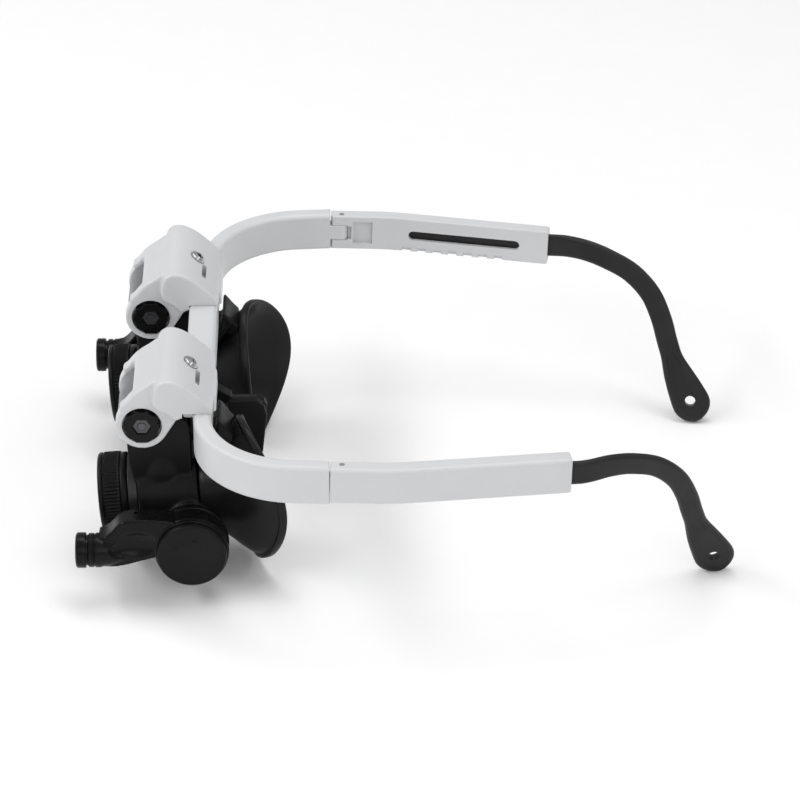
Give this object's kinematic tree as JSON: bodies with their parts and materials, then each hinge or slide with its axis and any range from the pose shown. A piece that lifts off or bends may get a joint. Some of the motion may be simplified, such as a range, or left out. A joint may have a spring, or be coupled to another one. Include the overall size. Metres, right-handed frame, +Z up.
{
  "type": "flip-up binocular loupes",
  "caption": "Spectacle-style magnifier with flip-up loupes on a sliding bracket bar, tilting battery lamps, oval eyecups, a nose rest and folding temples with telescoping tips.",
  "frame": {"origin": "under the middle of the bounding box, at the lowest point of the temple tips and eyecups", "axes": "+Z up, the loupes look along -Y and slightly down, the temples run back along +Y, +X is the wearer's left"},
  "size_m": [0.1528, 0.1864, 0.0661],
  "materials": {
    "white_plastic": "semi-gloss, slightly cool white",
    "black_plastic": "satin black",
    "black_gloss": "semi-gloss black",
    "soft_black": "matt, slightly soft",
    "steel": "plain",
    "dark_steel": "dark, oiled",
    "chrome": "bright",
    "brass": "plain",
    "grey_metal": "bead blasted grey",
    "collar_metal": "satin dark grey",
    "glass": "coated glass",
    "led_clear": "clear epoxy lens"
  },
  "bodies": {
    "frame": {"frame_front": "white_plastic", "nose_bracket": "black_plastic", "nose_saddle": "soft_black", "nose_screws": "steel"},
    "bracket_body_left": {"bracket_left": "white_plastic", "friction_screw_left": "chrome", "friction_shoe_left": "brass", "flip_bolt_left": "steel"},
    "knob_left": {"flip_knob_left": "black_gloss", "flip_nut_left": "dark_steel"},
    "loupe_left": {"flip_barrel_left": "grey_metal", "loupe_carrier_left": "black_plastic", "loupe_tube_left": "black_plastic", "tube_collar_left": "collar_metal", "eye_lens_left": "glass", "eyecup_left": "soft_black", "lamp_mount_left": "black_gloss", "lamp_screw_left": "steel"},
    "objective_left": {"objective_ring_left": "black_plastic", "objective_lens_left": "glass"},
    "lamp_left": {"lamp_housing_left": "black_gloss", "led_left": "led_clear", "battery_cells_left": "steel", "battery_spring_left": "brass"},
    "lamp_switch_left": {"lamp_head_left": "black_gloss"},
    "cap_left": {"battery_cap_left": "black_plastic"},
    "temple_left": {"temple_sleeve_left": "white_plastic", "sleeve_cover_left": "white_plastic", "hinge_pin_left": "steel"},
    "tip_left": {"temple_tip_left": "soft_black"},
    "bracket_body_right": {"bracket_right": "white_plastic", "friction_screw_right": "chrome", "friction_shoe_right": "brass", "flip_bolt_right": "steel"},
    "knob_right": {"flip_knob_right": "black_gloss", "flip_nut_right": "dark_steel"},
    "loupe_right": {"flip_barrel_right": "grey_metal", "loupe_carrier_right": "black_plastic", "loupe_tube_right": "black_plastic", "tube_collar_right": "collar_metal", "eye_lens_right": "glass", "eyecup_right": "soft_black", "lamp_mount_right": "black_gloss", "lamp_screw_right": "steel"},
    "objective_right": {"objective_ring_right": "black_plastic", "objective_lens_right": "glass"},
    "lamp_right": {"lamp_housing_right": "black_gloss", "led_right": "led_clear", "battery_cells_right": "steel", "battery_spring_right": "brass"},
    "lamp_switch_right": {"lamp_head_right": "black_gloss"},
    "cap_right": {"battery_cap_right": "black_plastic"},
    "temple_right": {"temple_sleeve_right": "white_plastic", "sleeve_cover_right": "white_plastic", "hinge_pin_right": "steel"},
    "tip_right": {"temple_tip_right": "soft_black"}
  },
  "joints": [
    {"name": "pd_slide_left", "type": "slide", "parent": "frame", "child": "bracket_body_left", "axis": [1, 0, 0], "range_m": [-0.003, 0.003]},
    {"name": "knob_turn_left", "type": "hinge", "parent": "bracket_body_left", "child": "knob_left", "pos_m": [0.031, -0.0742, 0.05025], "axis": [1, 0, 0], "range_deg": [0, 180]},
    {"name": "loupe_flip_left", "type": "hinge", "parent": "bracket_body_left", "child": "loupe_left", "pos_m": [0.031, -0.0742, 0.05025], "axis": [-1, 0, 0], "range_deg": [0, 100]},
    {"name": "objective_turn_left", "type": "hinge", "parent": "loupe_left", "child": "objective_left", "pos_m": [0.031, -0.0667, 0.02215], "axis": [0, -0.9966, -0.0819], "range_deg": [-60, 60]},
    {"name": "lamp_tilt_left", "type": "hinge", "parent": "loupe_left", "child": "lamp_left", "pos_m": [0.048, -0.0607, 0.01705], "axis": [1, 0, 0], "range_deg": [-20, 20]},
    {"name": "cap_turn_left", "type": "hinge", "parent": "lamp_left", "child": "cap_left", "pos_m": [0.058, -0.0607, 0.01705], "axis": [1, 0, 0], "range_deg": [0, 60]},
    {"name": "lamp_switch_turn_left", "type": "hinge", "parent": "lamp_left", "child": "lamp_switch_left", "pos_m": [0.0553, -0.0917, 0.01685], "axis": [0, -1, 0], "range_deg": [0, 90]},
    {"name": "temple_fold_left", "type": "hinge", "parent": "frame", "child": "temple_left", "pos_m": [0.0732, -0.0185, 0.04976], "axis": [0, 0.0297, 0.9996], "range_deg": [0, 82]},
    {"name": "temple_slide_left", "type": "slide", "parent": "temple_left", "child": "tip_left", "axis": [-0.1564, 0.9873, -0.0293], "range_m": [0, 0.02]},
    {"name": "pd_slide_right", "type": "slide", "parent": "frame", "child": "bracket_body_right", "axis": [-1, 0, 0], "range_m": [-0.003, 0.003]},
    {"name": "knob_turn_right", "type": "hinge", "parent": "bracket_body_right", "child": "knob_right", "pos_m": [-0.031, -0.0742, 0.05025], "axis": [1, 0, 0], "range_deg": [0, 180]},
    {"name": "loupe_flip_right", "type": "hinge", "parent": "bracket_body_right", "child": "loupe_right", "pos_m": [-0.031, -0.0742, 0.05025], "axis": [-1, 0, 0], "range_deg": [0, 100]},
    {"name": "objective_turn_right", "type": "hinge", "parent": "loupe_right", "child": "objective_right", "pos_m": [-0.031, -0.0667, 0.02215], "axis": [0, -0.9966, -0.0819], "range_deg": [-60, 60]},
    {"name": "lamp_tilt_right", "type": "hinge", "parent": "loupe_right", "child": "lamp_right", "pos_m": [-0.048, -0.0607, 0.01705], "axis": [1, 0, 0], "range_deg": [-20, 20]},
    {"name": "cap_turn_right", "type": "hinge", "parent": "lamp_right", "child": "cap_right", "pos_m": [-0.058, -0.0607, 0.01705], "axis": [-1, 0, 0], "range_deg": [0, 60]},
    {"name": "lamp_switch_turn_right", "type": "hinge", "parent": "lamp_right", "child": "lamp_switch_right", "pos_m": [-0.0553, -0.0917, 0.01685], "axis": [0, -1, 0], "range_deg": [0, 90]},
    {"name": "temple_fold_right", "type": "hinge", "parent": "frame", "child": "temple_right", "pos_m": [-0.0732, -0.0185, 0.04976], "axis": [0, -0.0297, -0.9996], "range_deg": [0, 60]},
    {"name": "temple_slide_right", "type": "slide", "parent": "temple_right", "child": "tip_right", "axis": [0.1564, 0.9873, -0.0293], "range_m": [0, 0.02]}
  ]
}
